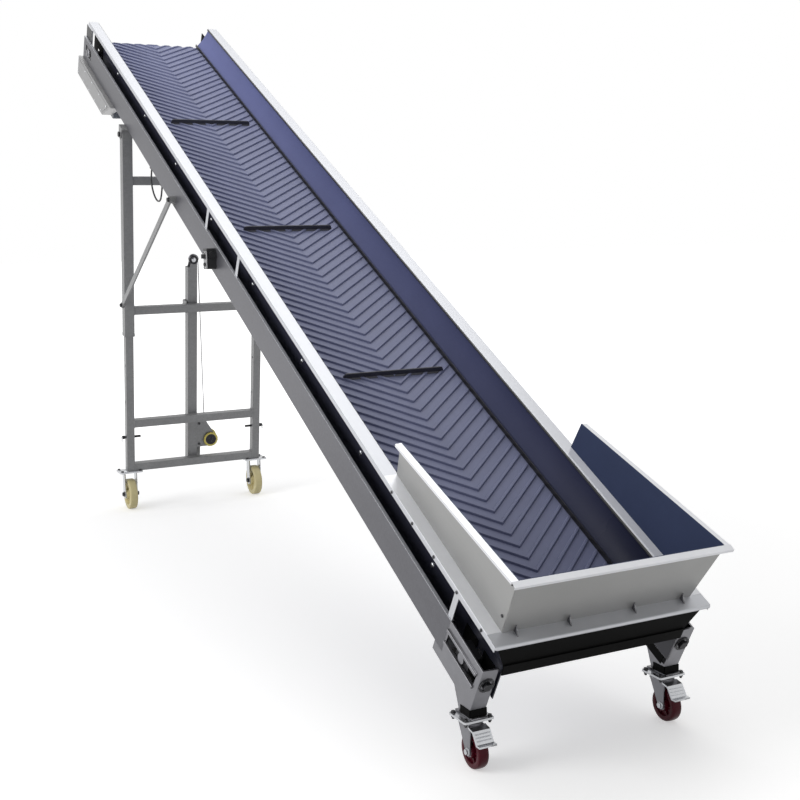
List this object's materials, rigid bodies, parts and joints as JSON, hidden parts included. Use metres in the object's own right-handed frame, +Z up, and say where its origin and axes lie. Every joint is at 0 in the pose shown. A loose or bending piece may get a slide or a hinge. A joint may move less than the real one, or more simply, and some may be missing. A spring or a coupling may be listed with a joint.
{
  "type": "mobile belt conveyor",
  "caption": "Inclined mobile belt conveyor with a ribbed troughed belt, feed hopper, swivel casters in front and a wheeled rear leg that a hand winch raises and lowers.",
  "frame": {"origin": "on the floor under the middle of the bounding box", "axes": "+Z up, +Y the way the belt carries, from the hopper to the head"},
  "size_m": [0.81, 4.4046, 2.5568],
  "materials": {
    "rail_bright": "bright satin",
    "beam_galvanised": "dull galvanised",
    "plate_dark": "dark satin paint",
    "skirt_rubber": "smooth dark blue rubber",
    "belt_rubber": "slate rubber with ribs",
    "drum_steel": "turned steel",
    "hopper_stainless": "brushed sheet",
    "guard_sheet": "folded galvanised sheet",
    "motor_paint": "grey enamel",
    "black_plastic": "black plastic",
    "black_bolt": "blackened steel",
    "leg_steel": "galvanised tube",
    "yellow_zinc": "yellow zinc plating",
    "wire_rope": "wire rope",
    "caster_zinc": "bright zinc plating",
    "cream_nylon": "cream nylon",
    "red_tread": "dark red tread"
  },
  "bodies": {
    "frame": {"top_rail_left": "rail_bright", "top_rail_right": "rail_bright", "side_beam_left": "beam_galvanised", "side_beam_right": "beam_galvanised", "side_plate_left": "plate_dark", "side_plate_right": "plate_dark", "tail_panel": "plate_dark", "skirt_left": "skirt_rubber", "skirt_right": "skirt_rubber", "slider_bed": "plate_dark", "cross_members": "beam_galvanised", "belt": "belt_rubber", "head_drum": "drum_steel", "tail_drum": "drum_steel", "head_bearings": "drum_steel", "take_up_blocks": "drum_steel", "return_rollers": "drum_steel", "take_up_left": "beam_galvanised", "take_up_right": "beam_galvanised", "rail_posts": "rail_bright", "hopper_left": "hopper_stainless", "hopper_right": "hopper_stainless", "hopper_front": "hopper_stainless", "hopper_liner": "skirt_rubber", "chain_guard": "guard_sheet", "gear_motor": "motor_paint", "control_box": "black_plastic", "power_cable": "black_plastic", "cable_glands": "black_plastic", "leg_brackets": "leg_steel", "leg_pivots": "black_bolt", "leg_struts": "leg_steel", "upper_leg_left": "leg_steel", "upper_leg_right": "leg_steel", "upper_crossbars": "leg_steel", "caster_plate_left": "caster_zinc", "caster_plate_right": "caster_zinc"},
    "lower_frame": {"lower_leg_left": "leg_steel", "lower_leg_right": "leg_steel", "lower_crossbars": "leg_steel", "locking_pins": "black_bolt", "mast": "leg_steel", "mast_pulley": "drum_steel", "winch_frame": "leg_steel", "winch_drum": "yellow_zinc", "winch_crank": "black_bolt", "winch_wire": "wire_rope", "rear_fork_left": "caster_zinc", "rear_fork_right": "caster_zinc"},
    "front_swivel_left": {"front_fork_left": "caster_zinc"},
    "front_wheel_left": {"front_wheel_left": "red_tread"},
    "rear_wheel_left": {"rear_wheel_left": "cream_nylon"},
    "front_swivel_right": {"front_fork_right": "caster_zinc"},
    "front_wheel_right": {"front_wheel_right": "red_tread"},
    "rear_wheel_right": {"rear_wheel_right": "cream_nylon"}
  },
  "joints": [
    {"name": "lift", "type": "slide", "parent": "frame", "child": "lower_frame", "axis": [0, -0.1444, 0.9895], "range_m": [-0.2, 0.4]},
    {"name": "front_swivel_left", "type": "hinge", "parent": "frame", "child": "front_swivel_left", "pos_m": [-0.325, -1.9408, 0.12], "axis": [0, 0, 1], "continuous": true},
    {"name": "front_roll_left", "type": "hinge", "parent": "front_swivel_left", "child": "front_wheel_left", "pos_m": [-0.325, -1.9588, 0.05], "axis": [1, 0, 0], "continuous": true},
    {"name": "rear_roll_left", "type": "hinge", "parent": "lower_frame", "child": "rear_wheel_left", "pos_m": [-0.345, 1.59905, 0.08], "axis": [1, 0, 0], "continuous": true},
    {"name": "front_swivel_right", "type": "hinge", "parent": "frame", "child": "front_swivel_right", "pos_m": [0.325, -1.9408, 0.12], "axis": [0, 0, 1], "continuous": true},
    {"name": "front_roll_right", "type": "hinge", "parent": "front_swivel_right", "child": "front_wheel_right", "pos_m": [0.325, -1.9588, 0.05], "axis": [1, 0, 0], "continuous": true},
    {"name": "rear_roll_right", "type": "hinge", "parent": "lower_frame", "child": "rear_wheel_right", "pos_m": [0.345, 1.59905, 0.08], "axis": [1, 0, 0], "continuous": true}
  ]
}
